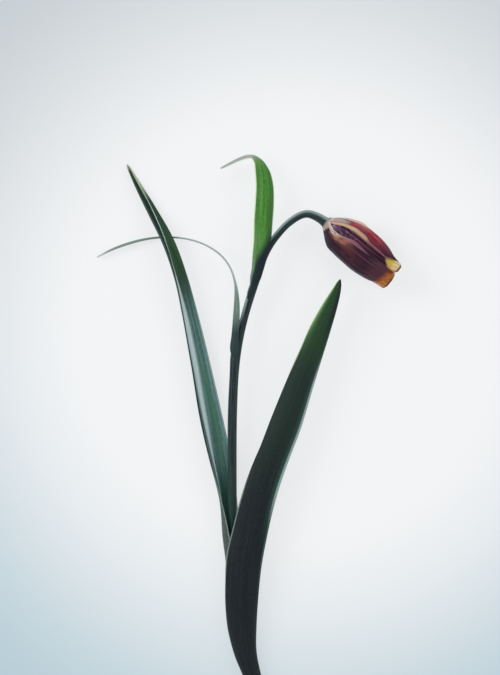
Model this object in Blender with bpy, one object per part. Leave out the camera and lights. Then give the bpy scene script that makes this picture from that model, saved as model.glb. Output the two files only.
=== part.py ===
"""A fritillary flower, picked and lying on a table: a nodding bell of six tepals
on a curved stem with four narrow leaves.

Sizes are in millimetres, and Blender gets them in metres. +X and +Y lie along
the table, +Z points up from it. The flower's box stands centred on the origin.
"""

import math

import bmesh
import bpy
import numpy as np

MM = 0.001
BLADE = 0.7  # thickness of a leaf
PETAL = 0.65  # thickness of a tepal
GAP = 0.3  # left between two pieces that touch on the plant

# The stem's middle from its cut end to the flower: x, y, z and its radius there.
STEM = [
    (4.1, -88.6, 1.75, 1.75),
    (1.1, -77.5, 2.15, 1.72),
    (-1.9, -62.5, 2.75, 1.66),
    (-4.0, -46.0, 3.3, 1.6),
    (-5.0, -28.0, 3.8, 1.55),
    (-5.1, -12.0, 4.3, 1.5),
    (-4.8, 9.6, 5.0, 1.47),
    (-3.7, 25.0, 5.4, 1.55),
    (-1.2, 36.5, 5.7, 1.25),
    (2.5, 48.0, 6.0, 1.25),
    (7.2, 59.3, 6.3, 1.15),
    (13.3, 67.2, 6.5, 1.15),
    (19.2, 69.9, 6.5, 1.2),
    (23.2, 68.5, 6.5, 1.5),
]
ARCH_TOP = 69.0  # below this height the stem is found by its y alone

# Where each leaf wraps the stem: y on the stem, half of the angle that the leaf
# wraps round it, the turn of its back from straight up, and how far it stands off.
FRONT_CLASP = [(-84.5, 105, 0, 0.0), (-78.5, 100, 0, 0.0)]
LEFT_CLASP = [(-51.0, 120, -125, 0.1), (-41.0, 118, -125, 0.3), (-33.0, 108, -130, 0.6)]
THIN_CLASP = [(24.0, 35, -20, 0.0)]
UPPER_CLASP = [(43.5, 40, -18, 0.0), (48.0, 48, -14, 0.0)]

# The blade past that, as stations of its keel: x, y, z, its width laid flat, half of
# the angle that it curls through, and the turn of its back from straight up.
FRONT_BLADE = [
    (-0.6, -71.0, 5.5, 9.4, 82, 0),
    (-1.7, -63.4, 6.2, 10.7, 66, 0),
    (-2.1, -55.7, 7.1, 11.6, 54, 0),
    (-2.0, -48.0, 7.9, 11.8, 43, 0),
    (-1.3, -40.3, 8.4, 11.7, 36, 0),
    (0.5, -32.6, 8.5, 11.6, 31, 0),
    (2.8, -25.0, 8.8, 11.4, 29, 0),
    (5.9, -13.4, 9.0, 10.8, 29, 0),
    (11.7, 1.9, 9.1, 10.5, 30, 0),
    (17.4, 17.3, 9.0, 9.0, 31, 0),
    (23.1, 32.6, 8.6, 7.0, 31, 0),
    (26.3, 40.3, 8.3, 4.8, 30, 0),
    (29.2, 48.4, 8.0, 0.9, 28, 0),
]
LEFT_BLADE = [
    (-7.6, -22.0, 1.3, 9.8, 88, -148),
    (-10.1, -8.0, 1.3, 9.6, 74, -160),
    (-12.5, 6.0, 1.5, 8.8, 68, -166),
    (-15.8, 22.0, 2.0, 7.8, 70, -162),
    (-19.3, 38.0, 2.9, 6.8, 76, -156),
    (-22.6, 50.0, 3.9, 6.4, 84, -148),
    (-26.6, 60.5, 3.9, 6.2, 88, -142),
    (-31.1, 70.0, 2.5, 5.4, 84, -138),
    (-35.0, 78.0, 1.2, 3.6, 74, -134),
    (-38.7, 85.4, 0.53, 0.9, 50, -130),
]
THIN_BLADE = [
    (-4.2, 31.0, 7.7, 2.5, 40, -15),
    (-3.8, 38.4, 7.4, 2.3, 40, -25),
    (-3.9, 44.2, 6.8, 2.1, 40, -55),
    (-4.4, 48.5, 6.2, 1.9, 38, -82),
    (-5.4, 52.0, 5.7, 1.8, 36, -90),
    (-7.8, 55.8, 5.0, 1.8, 35, -90),
    (-12.8, 59.5, 3.8, 1.8, 35, -90),
    (-18.6, 61.6, 2.4, 1.7, 35, -90),
    (-24.9, 62.2, 1.25, 1.6, 35, -92),
    (-31.2, 61.6, 1.2, 1.6, 35, -105),
    (-37.5, 60.2, 1.3, 1.5, 35, -118),
    (-43.5, 58.2, 1.3, 1.2, 34, -120),
    (-48.8, 55.8, 1.2, 0.8, 30, -120),
]
UPPER_BLADE = [
    (3.3, 52.0, 8.2, 3.8, 50, -8),
    (3.9, 55.8, 8.9, 4.6, 44, -2),
    (4.7, 61.0, 9.4, 5.6, 40, 4),
    (5.0, 67.5, 9.7, 6.1, 37, 4),
    (5.3, 74.0, 9.8, 6.0, 36, 4),
    (5.4, 79.5, 9.7, 5.6, 36, 8),
    (4.9, 83.5, 9.2, 5.0, 36, 22),
    (3.8, 86.6, 8.3, 4.1, 36, 48),
    (1.9, 88.2, 7.3, 3.4, 34, 76),
    (-0.4, 88.3, 6.3, 2.8, 30, 88),
    (-3.2, 87.3, 5.3, 2.2, 26, 90),
    (-6.0, 85.8, 4.4, 1.6, 24, 90),
    (-8.7, 84.4, 3.6, 0.8, 24, 90),
]

# The bell hangs from the stem's end. Its axis slants down to the right.
BELL_BASE = np.array([25.4, 67.1, 6.5])
BELL_SLANT = math.radians(39.4)
RECEPTACLE = 1.75  # radius of the disc that the tepals sit on
PEG = 0.75  # radius of the peg in the middle of that disc
PEG_LENGTH = 2.3

# The outline of an outer tepal's middle, from the peg to the tip: distance along
# the bell's axis, distance from the axis, and half of the angle that it spans.
OUTER = [
    (0.65, 1.2, 50),
    (0.85, 2.2, 49),
    (1.5, 3.5, 47),
    (2.9, 4.7, 45),
    (4.6, 5.35, 44),
    (7.0, 6.05, 43),
    (10.0, 6.42, 43),
    (14.5, 6.45, 43),
    (18.3, 6.2, 43),
    (21.3, 5.65, 43),
    (23.6, 4.95, 42),
    (25.3, 4.7, 38),
    (26.4, 4.6, 28),
    (27.0, 4.6, 11),
]
# The same of an inner tepal, which lies under the edges of two outer ones.
INNER = [
    (1.7, 1.2, 44),
    (1.9, 2.05, 46),
    (2.45, 3.0, 50),
    (3.5, 3.85, 51),
    (5.0, 4.4, 51),
    (7.25, 5.03, 51),
    (10.05, 5.37, 51),
    (14.45, 5.4, 51),
    (18.2, 5.17, 51),
    (21.0, 4.66, 50),
    (23.3, 3.9, 46),
    (25.2, 3.65, 40),
    (26.6, 3.85, 26),
    (27.6, 4.2, 10),
]
LAYER = 1.05  # from the middle of an outer tepal to that of an inner one, where both are pressed flat
OUTER_FACING = (-45, 75, 195)  # where each tepal's rib faces round the axis, in degrees
INNER_FACING = (15, 135, 255)
OUTER_REACH = (1.02, 0.92, 1.0)  # each outer tepal's length against the bell's
OUTER_SWING = (14, 0, 0)  # how far each tip is swung round the axis, in degrees
INNER_SWING = (16, 3, -3)


def smooth(rows, count):
    """Rows read evenly along a smooth curve through these. The last column, or all past three, only
    go along with the place that the first ones give."""
    rows = np.array(rows, float)
    place = rows[:, : min(3, rows.shape[1] - 1)]
    steps = np.linalg.norm(np.diff(place, axis=0), axis=1)
    at = np.concatenate([[0.0], np.cumsum(steps)])
    slope = np.gradient(rows, at, axis=0)
    wanted = np.linspace(0.0, at[-1], count)
    i = np.clip(np.searchsorted(at, wanted) - 1, 0, len(at) - 2)
    span = (at[i + 1] - at[i])[:, None]
    t = (wanted - at[i])[:, None] / span
    start = (2 * t**3 - 3 * t**2 + 1) * rows[i] + (t**3 - 2 * t**2 + t) * span * slope[i]
    end = (3 * t**2 - 2 * t**3) * rows[i + 1] + (t**3 - t**2) * span * slope[i + 1]
    return start + end


def unit(vectors):
    return vectors / np.linalg.norm(vectors, axis=-1, keepdims=True)


def frames(points, turns):
    """At each point of a route, the side and the back of a blade, whose back is turned from straight up."""
    ahead = unit(np.gradient(points, axis=0))
    side = unit(np.cross(ahead, [0.0, 0.0, 1.0]))
    up = np.cross(side, ahead)
    turn = np.radians(turns)[:, None]
    outward = up * np.cos(turn) + side * np.sin(turn)
    return np.cross(ahead, outward), outward


def finish(name, mesh, material):
    """An object of this mesh, smooth but for its sharp edges."""
    mesh.shade_smooth()
    mesh.set_sharp_from_angle(angle=math.radians(50))
    obj = bpy.data.objects.new(name, mesh)
    obj.data.materials.append(material)
    bpy.context.scene.collection.objects.link(obj)
    return obj


def sheet(name, grid, thickness, material):
    """A blade: a grid of points in millimetres, given this thickness. Both faces are split alike."""
    down, across = grid.shape[:2]
    quads = [
        (r * across + c, r * across + c + 1, (r + 1) * across + c + 1, (r + 1) * across + c)
        for r in range(down - 1)
        for c in range(across - 1)
    ]
    mesh = bpy.data.meshes.new(name)
    mesh.from_pydata(grid.reshape(-1, 3) * MM, [], quads)
    shape = bmesh.new()
    shape.from_mesh(mesh)
    bmesh.ops.triangulate(shape, faces=shape.faces[:], quad_method="FIXED")
    shape.to_mesh(mesh)
    shape.free()
    obj = finish(name, mesh, material)
    solidify = obj.modifiers.new("thickness", "SOLIDIFY")
    solidify.thickness = thickness * MM
    solidify.offset = 0.0
    return obj


def tube(name, rows, sides, material):
    """A round body along a route of x, y, z and radius, with closed ends."""
    curve = bpy.data.curves.new(name, "CURVE")
    curve.dimensions = "3D"
    curve.bevel_depth = MM
    curve.bevel_resolution = (sides - 4) // 2
    curve.use_fill_caps = True
    line = curve.splines.new("POLY")
    line.points.add(len(rows) - 1)
    for point, (x, y, z, radius) in zip(line.points, rows):
        point.co = (x * MM, y * MM, z * MM, 1.0)
        point.radius = radius
    line.use_smooth = True
    obj = bpy.data.objects.new(name, curve)
    curve.materials.append(material)
    bpy.context.scene.collection.objects.link(obj)
    return obj


def petal_colour(name, red, green, blue, roughness):
    material = bpy.data.materials.new(name)
    material.use_nodes = True
    shader = material.node_tree.nodes["Principled BSDF"]
    shader.inputs["Base Color"].default_value = (red, green, blue, 1.0)
    shader.inputs["Roughness"].default_value = roughness
    shader.inputs["Metallic"].default_value = 0.0
    return material


def stem_at(y):
    """The stem's middle, its direction and its radius at this height, below the arch."""
    rows = smooth(STEM, 200)
    rows = rows[: int(np.argmax(rows[:, 1] > ARCH_TOP))]
    ahead = unit(np.gradient(rows[:, :3], axis=0))
    near = [np.interp(y, rows[:, 1], column) for column in (*rows.T, *ahead.T)]
    return np.array(near[:3]), np.array(near[4:]), near[3]


def clasp(y, curl, turn, slack):
    """A leaf's station where it wraps the stem at this height."""
    middle, ahead, radius = stem_at(y)
    side = unit(np.cross(ahead, [0.0, 0.0, 1.0]))
    up = np.cross(side, ahead)
    angle = math.radians(turn)
    ring = radius + GAP + slack + BLADE / 2
    keel = middle + ring * (up * math.cos(angle) + side * math.sin(angle))
    return (*keel, 2 * math.radians(curl) * ring, curl, turn)


def leaf(name, clasps, blade, along, across, material):
    """A channelled blade that grows from where it wraps the stem."""
    rows = smooth([clasp(*place) for place in clasps] + blade, along)
    keel, width, curl = rows[:, :3], rows[:, 3:4], np.radians(rows[:, 4:5])
    side, outward = frames(keel, rows[:, 5])
    radius = width / (2 * curl)
    angle = curl * np.linspace(-1, 1, across)
    grid = (
        keel[:, None]
        + (radius * np.sin(angle))[..., None] * side[:, None]
        - (radius * (1 - np.cos(angle)))[..., None] * outward[:, None]
    )
    return sheet(name, grid, BLADE, material)


def bell_point(along, out, facing):
    """The point this far along the bell's axis and this far out, towards an angle round it."""
    axis = np.array([math.cos(BELL_SLANT), -math.sin(BELL_SLANT), 0.0])
    side = np.array([math.sin(BELL_SLANT), math.cos(BELL_SLANT), 0.0])
    radial = np.cos(facing)[..., None] * [0.0, 0.0, 1.0] + np.sin(facing)[..., None] * side
    return BELL_BASE + np.asarray(along)[..., None] * axis + np.asarray(out)[..., None] * radial


def tepal(name, facing, swing, reach, inner, material):
    """One of the six segments of the bell. The one that the bell lies on is pressed flat by the table."""
    along, out, span = smooth(INNER if inner else OUTER, 21).T[:, :, None]
    out = np.interp(along * reach, along[:, 0], out[:, 0])
    across = np.linspace(-1, 1, 11)
    rib = 0.18 * np.exp(-((across / 0.12) ** 2)) - 0.12 * np.cos(math.pi * across)
    out = out + rib * np.sin(np.linspace(0, math.pi, len(along)))[:, None] ** 0.5
    turned = swing * np.clip((along - 14.0) / 12.0, 0.0, 1.0) ** 1.5
    angle = np.radians(facing + turned + span * across)
    grid = bell_point(np.broadcast_to(along * reach, out.shape), out, angle)
    lowest = PETAL / 2 + (LAYER if inner else 0.0)
    grid[..., 2] = np.maximum(grid[..., 2], lowest)
    return sheet(name, grid, PETAL, material)


def stamen(facing, material):
    """A filament with its anther, bent a little outwards from the flower's middle."""
    angle = np.full(1, math.radians(facing))
    filament = [(3.0, 1.25, 0.42), (6.0, 1.9, 0.38), (11.0, 2.4, 0.32)]
    anther = [
        (10.2, 2.45, 0.25),
        (10.6, 2.5, 0.7),
        (12.5, 2.7, 0.85),
        (14.8, 2.8, 0.7),
        (15.3, 2.8, 0.25),
    ]
    made = []
    for rows in (filament, anther):
        route = [(*bell_point([a], [out], angle)[0], r) for a, out, r in rows]
        made.append(tube("stamen", route, 8, material))
    return made


def pistil(material):
    """The ovary and its style, on a disc that the stamens grow from too."""
    round_axis = np.zeros(1)
    body = [
        (2.6, 2.1),
        (3.4, 2.0),
        (3.8, 1.45),
        (6.5, 1.55),
        (9.5, 1.3),
        (10.3, 0.7),
        (11.0, 0.5),
        (17.5, 0.55),
    ]
    route = [(*bell_point([a], [0.0], round_axis)[0], r) for a, r in body]
    made = [tube("pistil", route, 12, material)]
    for facing in (0, 120, 240):
        angle = np.full(1, math.radians(facing))
        lobe = [(17.0, 0.1, 0.4), (18.6, 0.6, 0.42), (20.2, 1.5, 0.3)]
        route = [(*bell_point([a], [out], angle)[0], r) for a, out, r in lobe]
        made.append(tube("lobe", route, 8, material))
    return made


def fused(name, pieces):
    """The pieces as one solid: a union of all of them."""
    bpy.ops.object.select_all(action="DESELECT")
    for piece in pieces:
        piece.select_set(True)
    bpy.context.view_layer.objects.active = pieces[0]
    bpy.ops.object.convert(target="MESH")
    for piece in pieces:
        shape = bmesh.new()
        shape.from_mesh(piece.data)
        bmesh.ops.remove_doubles(shape, verts=shape.verts[:], dist=0.001 * MM)
        bmesh.ops.recalc_face_normals(shape, faces=shape.faces[:])
        shape.to_mesh(piece.data)
        shape.free()
    body, others = pieces[0], pieces[1:]
    group = bpy.data.collections.new(name + "_pieces")
    for other in others:
        group.objects.link(other)
    union = body.modifiers.new("union", "BOOLEAN")
    union.operation = "UNION"
    union.operand_type = "COLLECTION"
    union.collection = group
    bpy.ops.object.modifier_apply(modifier=union.name)
    for other in others:
        bpy.data.objects.remove(other)
    bpy.data.collections.remove(group)
    body.name = name
    return body


def build():
    for obj in list(bpy.data.objects):
        bpy.data.objects.remove(obj)

    stem_green = petal_colour("stem_green", 0.035, 0.085, 0.075, 0.5)
    leaf_green = petal_colour("leaf_green", 0.03, 0.085, 0.06, 0.45)
    bract_green = petal_colour("bract_green", 0.07, 0.22, 0.035, 0.5)
    outer_purple = petal_colour("outer_purple", 0.08, 0.02, 0.03, 0.5)
    inner_purple = petal_colour("inner_purple", 0.1, 0.025, 0.05, 0.5)
    pollen_yellow = petal_colour("pollen_yellow", 0.6, 0.5, 0.12, 0.7)

    end = bell_point([-0.35, 0.0, 0.0, PEG_LENGTH], [0.0] * 4, np.zeros(4))
    radii = (RECEPTACLE, RECEPTACLE - 0.15, PEG, PEG - 0.1)
    stem_rows = [*smooth(STEM, 60), *[(*point, radius) for point, radius in zip(end, radii)]]
    tube("stem", stem_rows, 16, stem_green)

    leaf("leaf_front", FRONT_CLASP, FRONT_BLADE, 34, 9, leaf_green)
    leaf("leaf_left", LEFT_CLASP, LEFT_BLADE, 40, 9, leaf_green)
    leaf("leaf_thin", THIN_CLASP, THIN_BLADE, 44, 5, leaf_green)
    leaf("leaf_upper", UPPER_CLASP, UPPER_BLADE, 36, 9, bract_green)
    for i in range(3):
        tepal(f"tepal_outer_{i + 1}", OUTER_FACING[i], OUTER_SWING[i], OUTER_REACH[i], False, outer_purple)
    for i in range(3):
        tepal(f"tepal_inner_{i + 1}", INNER_FACING[i], INNER_SWING[i], 1.0, True, inner_purple)

    pieces = pistil(pollen_yellow)
    for facing in range(30, 390, 60):
        pieces += stamen(facing, pollen_yellow)
    fused("pistil_and_stamens", pieces)


build()
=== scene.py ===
import math

import bpy
import numpy as np
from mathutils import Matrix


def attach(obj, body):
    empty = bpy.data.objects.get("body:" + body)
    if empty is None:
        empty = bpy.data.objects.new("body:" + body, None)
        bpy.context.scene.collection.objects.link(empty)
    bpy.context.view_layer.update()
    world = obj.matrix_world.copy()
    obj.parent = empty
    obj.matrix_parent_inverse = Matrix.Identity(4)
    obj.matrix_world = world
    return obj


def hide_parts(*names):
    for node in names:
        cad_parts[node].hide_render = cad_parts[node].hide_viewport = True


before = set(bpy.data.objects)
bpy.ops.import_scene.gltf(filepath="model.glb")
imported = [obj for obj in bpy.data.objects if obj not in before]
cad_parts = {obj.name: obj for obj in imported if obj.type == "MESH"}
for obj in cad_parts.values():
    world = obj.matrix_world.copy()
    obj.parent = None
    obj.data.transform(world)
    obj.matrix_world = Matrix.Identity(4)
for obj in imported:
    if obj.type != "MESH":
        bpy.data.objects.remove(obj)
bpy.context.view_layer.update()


# --- The stem ---------------------------------------------------------------------------------
# A juicy green stalk under a thin bloom of wax. It was cut across at its foot, thickens a little
# where leaves join it, and bends over at the top to widen into the disc that carries the bell.

MM = 0.001
STEM_SIDES = 20
STEM_RINGS = 96
ROUND_RINGS = 4  # its last rings have no ridges, as the petals are set round them

# The stem's middle from its cut end to the flower, in mm: x, y, z and its radius there.
STEM = [
    (4.1, -88.6, 1.75, 1.75),
    (1.1, -77.5, 2.15, 1.72),
    (-1.9, -62.5, 2.75, 1.66),
    (-4.0, -46.0, 3.3, 1.6),
    (-5.0, -28.0, 3.8, 1.55),
    (-5.1, -12.0, 4.3, 1.5),
    (-4.87, 9.6, 5.0, 1.52),
    (-4.45, 18.0, 5.2, 1.49),
    (-3.92, 25.0, 5.4, 1.68),
    (-1.2, 36.5, 5.7, 1.25),
    (0.8, 43.4, 5.88, 1.3),
    (2.42, 48.0, 6.0, 1.22),
    (4.36, 54.2, 6.2, 1.2),
    (6.72, 59.25, 6.3, 1.17),
    (9.7, 63.4, 6.4, 1.17),
    (13.35, 67.15, 6.5, 1.2),
    (19.15, 69.9, 6.5, 1.3),
    (23.0, 68.4, 6.5, 1.5),
]
ARCH_TOP = 69.0  # below this height a point of the stem is found by its y alone

# The bell hangs from the stem's end, and its axis slants down to the right.
BELL_BASE = np.array([25.4, 67.1, 6.5])
BELL_SLANT = math.radians(39.4)
BELL_AXIS = np.array([math.cos(BELL_SLANT), -math.sin(BELL_SLANT), 0.0])
BELL_SIDE = np.array([math.sin(BELL_SLANT), math.cos(BELL_SLANT), 0.0])


def bell_point(along, out, facing):
    """The point this far along the bell's axis and this far out, towards an angle round it."""
    facing = np.asarray(facing, float)
    radial = np.cos(facing)[..., None] * [0.0, 0.0, 1.0] + np.sin(facing)[..., None] * BELL_SIDE
    middle = BELL_BASE + np.asarray(along)[..., None] * BELL_AXIS
    return middle + np.asarray(out)[..., None] * radial


def bell_stations(rows, facing):
    """Stations for draw_out, from rows of distance along the bell's axis, from it, and radius."""
    return [(*bell_point(along, out, facing), radius) for along, out, radius in rows]


def smooth(rows, count):
    """Rows read evenly along a smooth curve through these. The last column, or all past three, only
    go along with the place that the first ones give."""
    rows = np.array(rows, float)
    place = rows[:, : min(3, rows.shape[1] - 1)]
    steps = np.linalg.norm(np.diff(place, axis=0), axis=1)
    at = np.concatenate([[0.0], np.cumsum(steps)])
    slope = np.gradient(rows, at, axis=0)
    wanted = np.linspace(0.0, at[-1], count)
    i = np.clip(np.searchsorted(at, wanted) - 1, 0, len(at) - 2)
    span = (at[i + 1] - at[i])[:, None]
    t = (wanted - at[i])[:, None] / span
    start = (2 * t**3 - 3 * t**2 + 1) * rows[i] + (t**3 - 2 * t**2 + t) * span * slope[i]
    end = (3 * t**2 - 2 * t**3) * rows[i + 1] + (t**3 - t**2) * span * slope[i + 1]
    return start + end


def draw_out(name, stations, sides):
    """A round stalk: a disc that is extruded from station to station, turned and resized at each.
    Its "straight" attribute holds where each vertex would be, in mm, if it stood straight."""
    stations = np.array(stations, float)
    spots, radii = stations[:, :3] * MM, stations[:, 3] * MM
    way = np.gradient(spots, axis=0)
    heading = np.unwrap(np.arctan2(way[:, 1], way[:, 0]))
    bpy.ops.object.select_all(action="DESELECT")
    bpy.ops.mesh.primitive_circle_add(
        vertices=sides,
        radius=radii[0],
        fill_type="NGON",
        location=spots[0],
        rotation=(math.pi / 2, 0.0, heading[0] + math.pi / 2),
    )
    stalk = bpy.context.object
    stalk.name = stalk.data.name = name
    bpy.ops.object.transform_apply(location=True, rotation=True, scale=True)
    bpy.ops.object.mode_set(mode="EDIT")
    bpy.ops.mesh.select_all(action="SELECT")
    for i in range(1, len(spots)):
        bpy.ops.mesh.extrude_region_move(TRANSFORM_OT_translate={"value": spots[i] - spots[i - 1]})
        bpy.ops.transform.resize(value=[radii[i] / radii[i - 1]] * 3, center_override=spots[i])
        bpy.ops.transform.rotate(
            value=heading[i - 1] - heading[i], orient_axis="Z", center_override=spots[i]
        )
    bpy.ops.object.mode_set(mode="OBJECT")
    along = np.concatenate([[0.0], np.cumsum(np.linalg.norm(np.diff(spots, axis=0), axis=1))])
    angle = np.tile(np.arange(sides) * 2 * math.pi / sides, len(spots))
    ring = np.repeat(np.arange(len(spots)), sides)
    straight = np.stack([-radii[ring] * np.sin(angle), radii[ring] * np.cos(angle), along[ring]], 1)
    store = stalk.data.attributes.new("straight", "FLOAT_VECTOR", "POINT")
    store.data.foreach_set("vector", (straight / MM).ravel())
    return stalk


def rings_of(stations, sides):
    """The middle of the ring that each of a stalk's vertices is in, and its angle in that ring."""
    middles = np.repeat([row[:3] for row in stations], sides, axis=0) * MM
    return middles, np.tile(np.arange(sides) * 2 * math.pi / sides, len(stations))


def vertices_of(piece):
    places = np.empty(len(piece.data.vertices) * 3)
    piece.data.vertices.foreach_get("co", places)
    return places.reshape(-1, 3)


def move_vertices(piece, places):
    piece.data.vertices.foreach_set("co", places.ravel())


def apply_smoothing(piece, levels):
    """Rounds the piece with a Subdivision Surface that is applied, and shades it smooth."""
    bpy.ops.object.select_all(action="DESELECT")
    piece.select_set(True)
    bpy.context.view_layer.objects.active = piece
    rounding = piece.modifiers.new("rounding", "SUBSURF")
    rounding.levels = rounding.render_levels = levels
    bpy.ops.object.modifier_apply(modifier=rounding.name)
    bpy.ops.object.shade_smooth_by_angle(angle=math.radians(55))


class Paint:
    """A socket of a material's nodes. Sums written on it add Math nodes, node() adds any other."""

    def __init__(self, tree, socket=None):
        self.tree = tree
        self.socket = socket

    def node(self, kind, sockets=None, out=0, **settings):
        made = self.tree.nodes.new(kind)
        for setting, value in settings.items():
            setattr(made, setting, value)
        for name, value in (sockets or {}).items():
            self.fill(made.inputs[name], value)
        return Paint(self.tree, made.outputs[out])

    def fill(self, socket, value):
        if isinstance(value, Paint):
            self.tree.links.new(value.socket, socket)
        elif socket.type == "RGBA":
            socket.default_value = (*value, 1.0)
        else:
            socket.default_value = value

    def maths(self, operation, first, second=0.0):
        return self.node("ShaderNodeMath", {0: first, 1: second}, operation=operation)

    def __add__(self, other):
        return self.maths("ADD", self, other)

    def __sub__(self, other):
        return self.maths("SUBTRACT", self, other)

    def __rsub__(self, other):
        return self.maths("SUBTRACT", other, self)

    def __mul__(self, other):
        return self.maths("MULTIPLY", self, other)

    def __truediv__(self, other):
        return self.maths("DIVIDE", self, other)

    def __abs__(self):
        return self.maths("ABSOLUTE", self)

    __radd__ = __add__
    __rmul__ = __mul__


def open_pot(name):
    """A new material, and a Paint to mix its nodes with."""
    material = bpy.data.materials.new(name)
    material.use_nodes = True
    return material, Paint(material.node_tree)


def coat(pot, **sockets):
    """Joins what was mixed to the shader, or sets its constants: Base_Color and so on."""
    shader = pot.tree.nodes["Principled BSDF"]
    for name, value in sockets.items():
        pot.fill(shader.inputs[name.replace("_", " ")], value)


def object_place(pot):
    return pot.node("ShaderNodeTexCoord", out="Object")


def straight_place(pot):
    return pot.node("ShaderNodeAttribute", out="Vector", attribute_name="straight")


def stretched(vector, scale):
    return vector.node("ShaderNodeVectorMath", {0: vector, 1: scale}, operation="MULTIPLY")


def part_of(vector, which):
    return vector.node("ShaderNodeSeparateXYZ", {0: vector}, out=which)


def cloudy(vector, scale, detail=2.0):
    """Noise of about 0.3 to 0.7."""
    return vector.node("ShaderNodeTexNoise", {"Vector": vector, "Scale": scale, "Detail": detail})


def rising(value, low, high):
    """0 below low, 1 above high, and soft between."""
    return value.node(
        "ShaderNodeMapRange",
        {"Value": value, "From Min": low, "From Max": high},
        interpolation_type="SMOOTHSTEP",
    )


def falling(value, low, high):
    """1 below low, 0 above high, and soft between."""
    return 1 - rising(value, low, high)


def over(mask, under, top):
    """The top colour laid over the other where the mask is 1."""
    colours = {0: mask, 6: under, 7: top}  # 6, 7 and 2 are the sockets that a colour mix uses
    return mask.node("ShaderNodeMix", colours, out=2, data_type="RGBA")


def layers(colour, *coats):
    """A colour with others laid over it in turn, each of them given with its mask."""
    for mask, top in coats:
        colour = over(mask, colour, top)
    return colour


def grained(height, depth_mm, strength=1.0):
    return height.node(
        "ShaderNodeBump", {"Height": height, "Distance": depth_mm * MM, "Strength": strength}
    )


stalk_skin, pot = open_pot("stalk_skin")
straight = straight_place(pot)
fibre = cloudy(stretched(straight, (1.0, 1.0, 0.045)), 2.6, 3.0)
blotch = cloudy(stretched(straight, (1.0, 1.0, 0.35)), 0.35)
speck = cloudy(straight, 7.0)
wax = rising(blotch, 0.35, 0.68) * rising(speck, 0.25, 0.6)
height = part_of(straight, "Z")
low = falling(height, 68.0, 90.0)
high = rising(height, 112.0, 130.0)
bend = rising(height, 148.0, 168.0)
round_it = stretched(straight, (1.0, 1.0, 0.0))
radius = pot.node("ShaderNodeVectorMath", {0: round_it}, out="Value", operation="LENGTH")
side = part_of(straight, "X") / radius + 0.12 * (fibre - 0.5)
bloom_and_highlight = rising(side + 0.42 * high, 0.72, 1.02) * (1 - 0.7 * low)
colour = layers(
    over(rising(fibre, 0.40, 0.60), (0.012, 0.021, 0.025), (0.028, 0.052, 0.052)),
    (low * 0.9, (0.018, 0.048, 0.036)),
    (wax * 0.12, (0.092, 0.155, 0.152)),
    # Painted highlight on the waxy bloom: it is lit along its left side, and most widely over the
    # bend.
    (bloom_and_highlight * (0.35 + 0.5 * high + 0.4 * (blotch - 0.3)), (0.290, 0.410, 0.400)),
    (bend * rising(side, 0.0, 0.95) * 0.65, (0.270, 0.320, 0.310)),
    # It pales to the colour of the petals' shoulders where it meets them.
    (rising(height + 0.8 * side, 180.4, 183.4) * 0.7, (0.300, 0.310, 0.280)),
    # A faint painted highlight runs along its other edge.
    (falling(side, -0.96, -0.84) * 0.4, (0.230, 0.300, 0.300)),
)
coat(
    pot,
    Base_Color=colour,
    Roughness=0.36 + 0.2 * wax,
    Specular_IOR_Level=0.24,
    Normal=grained(fibre + 0.3 * speck, 0.05, 0.7),
)

stalk_pith, pot = open_pot("stalk_pith")
place = object_place(pot)
pores = pot.node("ShaderNodeTexVoronoi", {"Vector": place, "Scale": 4200.0})
coat(
    pot,
    Base_Color=over(rising(pores, 0.1, 0.6), (0.211, 0.317, 0.092), (0.554, 0.660, 0.317)),
    Roughness=0.25 + 0.3 * cloudy(place, 900.0),
    Normal=grained(pores, 0.06, 0.6),
)

# It ends in a shallow cone with a rounded rim, which the petals are set round.
STEM_END = [  # along the bell's axis, below it, radius
    (-1.3, 0.46, 1.60),
    (-0.75, 0.42, 1.74),
    (-0.2, 0.38, 1.90),
    (0.2, 0.34, 1.98),
    (0.5, 0.28, 1.90),
    (0.75, 0.20, 1.6),
    (0.95, 0.1, 1.1),
    (2.4, 0.0, 0.9),
]
stations = [*smooth(STEM, STEM_RINGS), *bell_stations(STEM_END, -math.pi / 2)]
stem = draw_out("stem", stations, STEM_SIDES)

# Low ridges run down it from the leaves, so that it isn't quite round.
middles, theta = rings_of(stations, STEM_SIDES)
rise = np.repeat(np.linspace(0, 1, len(stations)), STEM_SIDES)
bulge = 1 + 0.022 * np.cos(3 * theta + 5 * rise) + 0.014 * np.cos(5 * theta - 9 * rise)
bulge[-ROUND_RINGS * STEM_SIDES :] = 1.0
move_vertices(stem, middles + (vertices_of(stem) - middles) * bulge[:, None])

# The cut: a sharp rim, with the pith sunk a little inside it.
stem.data.materials.append(stalk_skin)
stem.data.materials.append(stalk_pith)
bpy.ops.object.mode_set(mode="EDIT")
bpy.ops.mesh.select_all(action="DESELECT")
bpy.ops.object.mode_set(mode="OBJECT")
min(stem.data.polygons, key=lambda face: face.center.y).select = True
bpy.ops.object.mode_set(mode="EDIT")
bpy.ops.mesh.inset(thickness=0.09 * MM)
stem.active_material_index = 1
bpy.ops.object.material_slot_assign()
for width, depth in ((0.18, -0.14), (0.5, 0.06), (0.4, -0.03)):
    bpy.ops.mesh.inset(thickness=width * MM, depth=depth * MM)
bpy.ops.object.mode_set(mode="OBJECT")
apply_smoothing(stem, 2)
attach(stem, "root")
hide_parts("stem")


# --- The front leaf ---------------------------------------------------------------------------
# The lowest and broadest leaf. Its base is rolled round the stem's foot like a sheath, and the
# blade opens into a shallow channel, ribbed lengthwise. It shows its dark back.

LAID_ROWS = 400  # a leaf's or petal's outline is read at this many places
CLASP_GAP = 0.35  # from the stem to the middle of the blade that wraps it, in mm
TIP_LENGTH = 1.4  # a leaf rounds off to its point over this many mm
RIBS = 8  # low ones, across a leaf
RIB_HEIGHT = 0.035

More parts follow.
